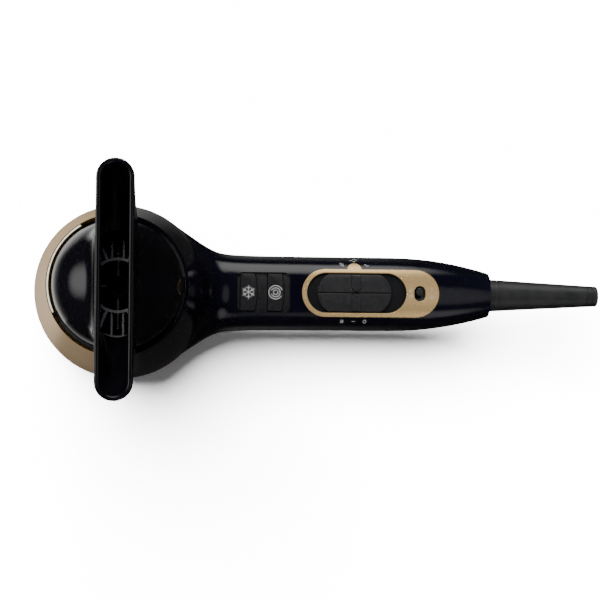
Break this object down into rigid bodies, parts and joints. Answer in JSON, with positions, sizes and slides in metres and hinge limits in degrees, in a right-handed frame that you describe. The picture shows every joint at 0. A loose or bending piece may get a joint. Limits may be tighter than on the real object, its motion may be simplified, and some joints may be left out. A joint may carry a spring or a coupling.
{
  "type": "hair dryer",
  "caption": "Hand-held hair dryer with a barrel, a tapering side handle with slide switches and sprung keys, and a turning flat slot nozzle, standing on its air inlet.",
  "frame": {"origin": "centre of the flat air-inlet face that the dryer stands on", "axes": "+Z the way the air leaves, +X the way the handle points, controls on the handle's +Z side"},
  "size_m": [0.2847, 0.0962, 0.235],
  "materials": {
    "housing": "high gloss navy black",
    "nozzle": "high gloss black",
    "gold": "satin champagne gold",
    "dark_plastic": "satin black",
    "key_plastic": "fine textured dark grey",
    "duct": "moulded heat-proof plastic",
    "steel": "satin",
    "mica": "flaky mineral sheet",
    "heater_wire": "oxidised resistance wire",
    "magnet": "sintered ferrite",
    "board": "solder-masked board",
    "rubber": "soft satin"
  },
  "bodies": {
    "body": {"main_housing": "housing", "front_handle_cover": "housing", "rear_handle_cover": "housing", "rear_cap": "housing", "barrel_cover": "gold", "control_bezel": "gold", "front_neck": "dark_plastic", "outlet_grille": "dark_plastic", "inlet_bell": "dark_plastic", "motor_mount": "dark_plastic", "control_plate": "dark_plastic", "inlet_filter": "dark_plastic", "button_frame": "key_plastic", "air_duct": "duct", "ion_generator": "duct", "cord_clamp": "duct", "heat_switch": "duct", "air_switch": "duct", "ion_switch": "duct", "cool_microswitch": "duct", "turbo_microswitch": "duct", "housing_screws": "steel", "motor_can": "steel", "front_bearing": "steel", "rear_bearing": "steel", "clamp_screws": "steel", "cool_spring": "steel", "turbo_spring": "steel", "thermostat": "steel", "heat_tube": "mica", "mica_board_first": "mica", "mica_board_second": "mica", "heater_coil_outer": "heater_wire", "heater_coil_inner": "heater_wire", "thermal_fuse": "heater_wire", "ion_emitter": "heater_wire", "motor_magnets": "magnet", "circuit_board": "board", "button_board": "board", "strain_relief": "rubber", "damper_rings": "rubber", "mains_leads": "rubber", "heater_leads": "rubber"},
    "nozzle_ring": {"nozzle_collar": "dark_plastic"},
    "nozzle": {"nozzle_shell": "nozzle"},
    "fan": {"impeller": "duct", "fan_shaft": "steel", "motor_rotor": "steel"},
    "heat_slider": {"heat_slider": "key_plastic"},
    "air_slider": {"air_slider": "key_plastic"},
    "ion_slider": {"ion_slider": "key_plastic"},
    "cool_button": {"cool_button": "key_plastic"},
    "turbo_button": {"turbo_button": "key_plastic"}
  },
  "joints": [
    {"name": "nozzle_pull", "type": "slide", "parent": "body", "child": "nozzle_ring", "axis": [0, 0, 1], "range_m": [0, 0.03]},
    {"name": "nozzle_turn", "type": "hinge", "parent": "nozzle_ring", "child": "nozzle", "pos_m": [0, 0, 0.17], "axis": [0, 0, 1], "continuous": true},
    {"name": "fan_spin", "type": "hinge", "parent": "body", "child": "fan", "pos_m": [0, 0, 0.06], "axis": [0, 0, 1], "continuous": true},
    {"name": "heat_slide", "type": "slide", "parent": "body", "child": "heat_slider", "axis": [1, 0, 0], "range_m": [-0.004, 0.004]},
    {"name": "air_slide", "type": "slide", "parent": "body", "child": "air_slider", "axis": [1, 0, 0], "range_m": [-0.004, 0.004]},
    {"name": "ion_slide", "type": "slide", "parent": "body", "child": "ion_slider", "axis": [0, 1, 0], "range_m": [-0.0019, 0]},
    {"name": "cool_press", "type": "slide", "parent": "body", "child": "cool_button", "axis": [0, 0, -1], "range_m": [0, 0.0016], "stiffness_N_per_m": 600, "springref_m": -0.0015, "deforming": ["cool_spring"]},
    {"name": "turbo_press", "type": "slide", "parent": "body", "child": "turbo_button", "axis": [0, 0, -1], "range_m": [0, 0.0016], "stiffness_N_per_m": 600, "springref_m": -0.0015, "deforming": ["turbo_spring"]}
  ]
}
